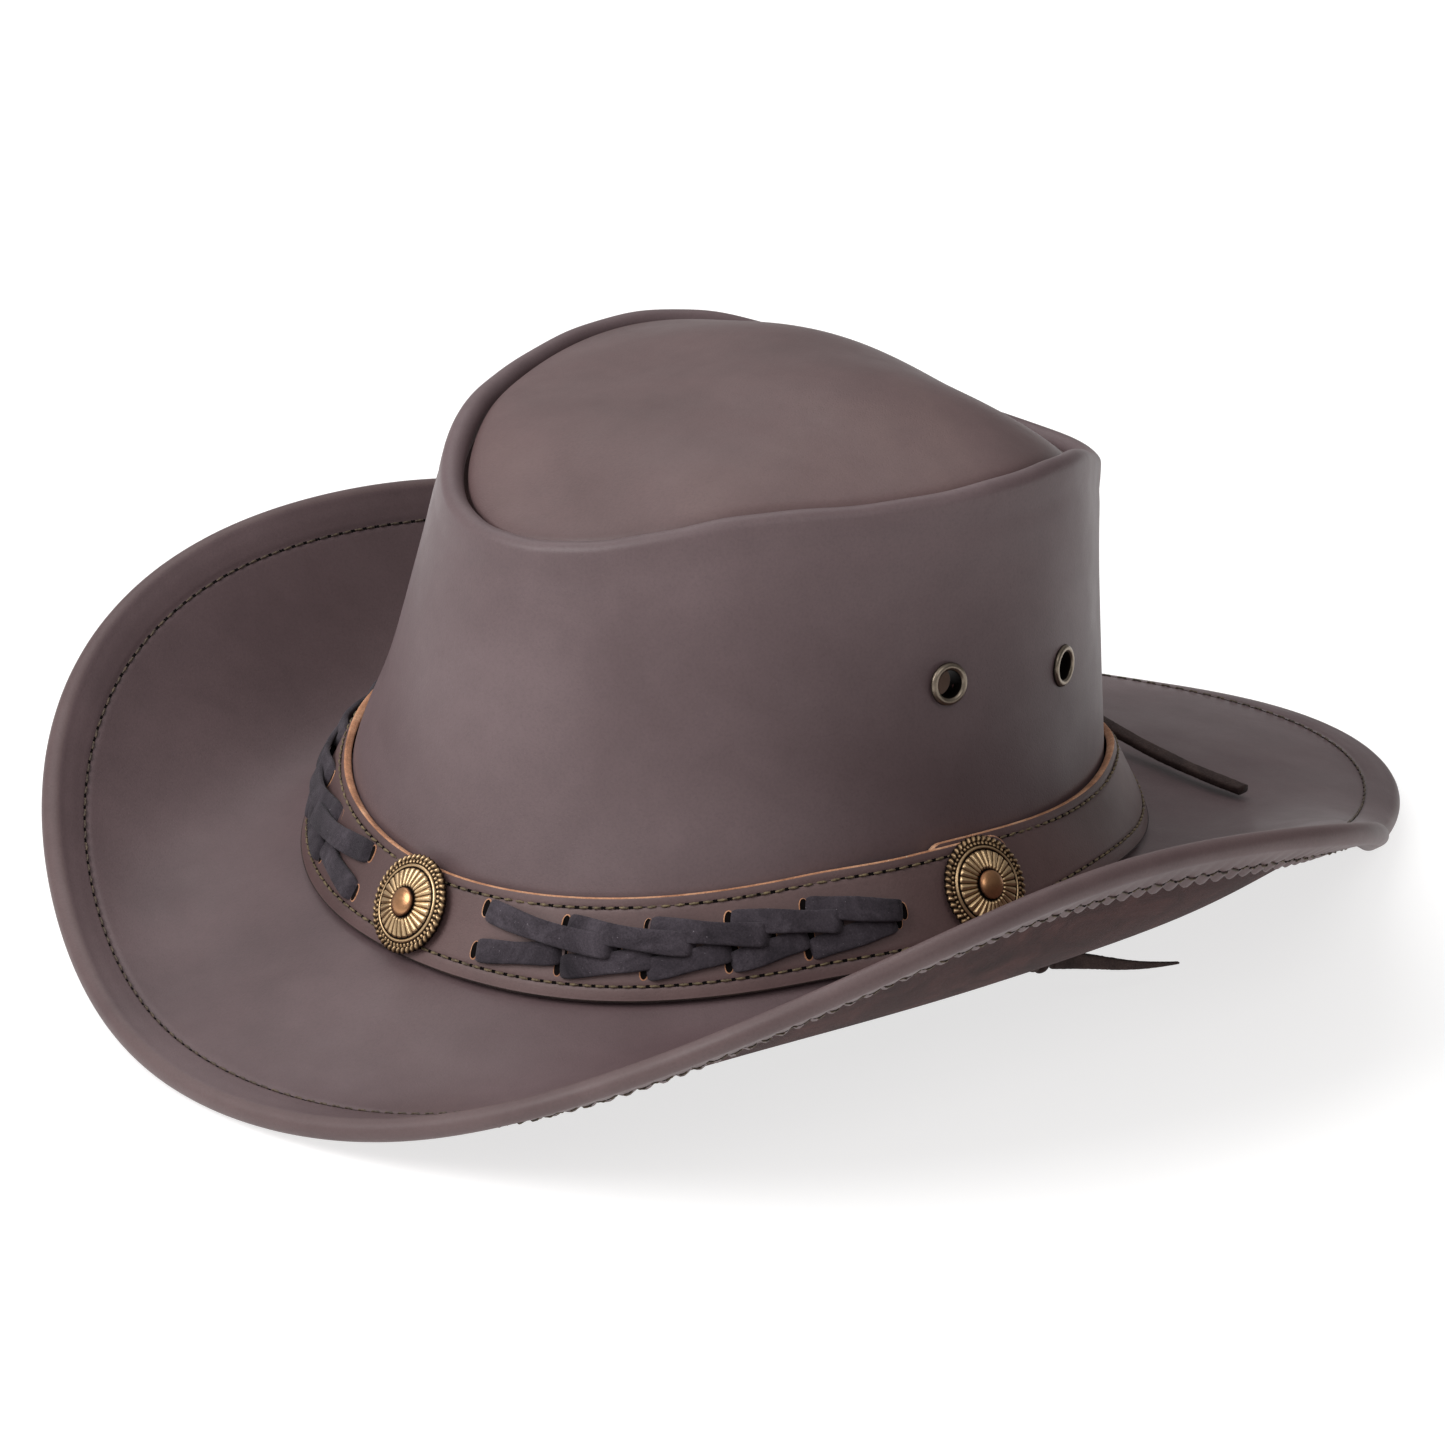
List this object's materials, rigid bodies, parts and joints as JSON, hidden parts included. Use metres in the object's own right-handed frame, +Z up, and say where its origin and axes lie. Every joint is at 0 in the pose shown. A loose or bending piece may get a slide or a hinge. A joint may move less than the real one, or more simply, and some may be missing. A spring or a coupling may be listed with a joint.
{
  "type": "cowboy hat",
  "caption": "Western hat in brown leather with a curled, hemmed brim, a rolled crown edge, a laced and stitched hatband and brass conchos.",
  "frame": {"origin": "on the table under the middle of the hat, which stands on the front and back of its brim", "axes": "+Z up, the front towards -Y, the wearer's left towards +X"},
  "size_m": [0.319, 0.3626, 0.1456],
  "materials": {
    "hat_leather": "smooth brown cowhide, satin, suede on the flesh side",
    "band_leather": "smooth brown strap leather with raw copper coloured edges",
    "black_lace": "black suede strip",
    "thong_leather": "dark brown thong, rough cut",
    "antique_brass": "antiqued brass with dark recesses",
    "copper_rivet": "worn copper rivet",
    "antique_nickel": "antiqued nickel, satin",
    "sweatband_leather": "thin tan lining leather",
    "seam_tape": "woven tape"
  },
  "bodies": {
    "hat": {"brim": "hat_leather", "brim_thong_knot": "thong_leather", "brim_thong_tail": "thong_leather", "concho_button_front": "copper_rivet", "concho_button_left": "copper_rivet", "concho_button_right": "copper_rivet", "concho_washer_front": "antique_nickel", "concho_washer_left": "antique_nickel", "concho_washer_right": "antique_nickel", "crown_seam_tape": "seam_tape", "crown_side": "hat_leather", "crown_top": "hat_leather", "eyelet_left_front": "antique_nickel", "eyelet_left_rear": "antique_nickel", "eyelet_right_front": "antique_nickel", "eyelet_right_rear": "antique_nickel", "eyelet_washer_left_front": "antique_nickel", "eyelet_washer_left_rear": "antique_nickel", "eyelet_washer_right_front": "antique_nickel", "eyelet_washer_right_rear": "antique_nickel", "hatband_front": "band_leather", "hatband_rear_left": "band_leather", "hatband_rear_right": "band_leather", "lace_lower_left": "black_lace", "lace_lower_right": "black_lace", "lace_upper_left": "black_lace", "lace_upper_right": "black_lace", "sweatband": "sweatband_leather", "tie_knot": "thong_leather", "tie_tail_left": "thong_leather", "tie_tail_right": "thong_leather"},
    "concho_front": {"concho_disc_front": "antique_brass"},
    "concho_left": {"concho_disc_left": "antique_brass"},
    "concho_right": {"concho_disc_right": "antique_brass"}
  },
  "joints": [
    {"name": "concho_front_spin", "type": "hinge", "parent": "hat", "child": "concho_front", "pos_m": [0, -0.1138, 0.03442], "axis": [0, -0.89, 0.4559], "continuous": true},
    {"name": "concho_left_spin", "type": "hinge", "parent": "hat", "child": "concho_left", "pos_m": [0.0975, -0.01814, 0.04445], "axis": [0.8994, 0.0524, 0.434], "continuous": true},
    {"name": "concho_right_spin", "type": "hinge", "parent": "hat", "child": "concho_right", "pos_m": [-0.0975, -0.01814, 0.04445], "axis": [-0.8994, 0.0524, 0.434], "continuous": true}
  ]
}
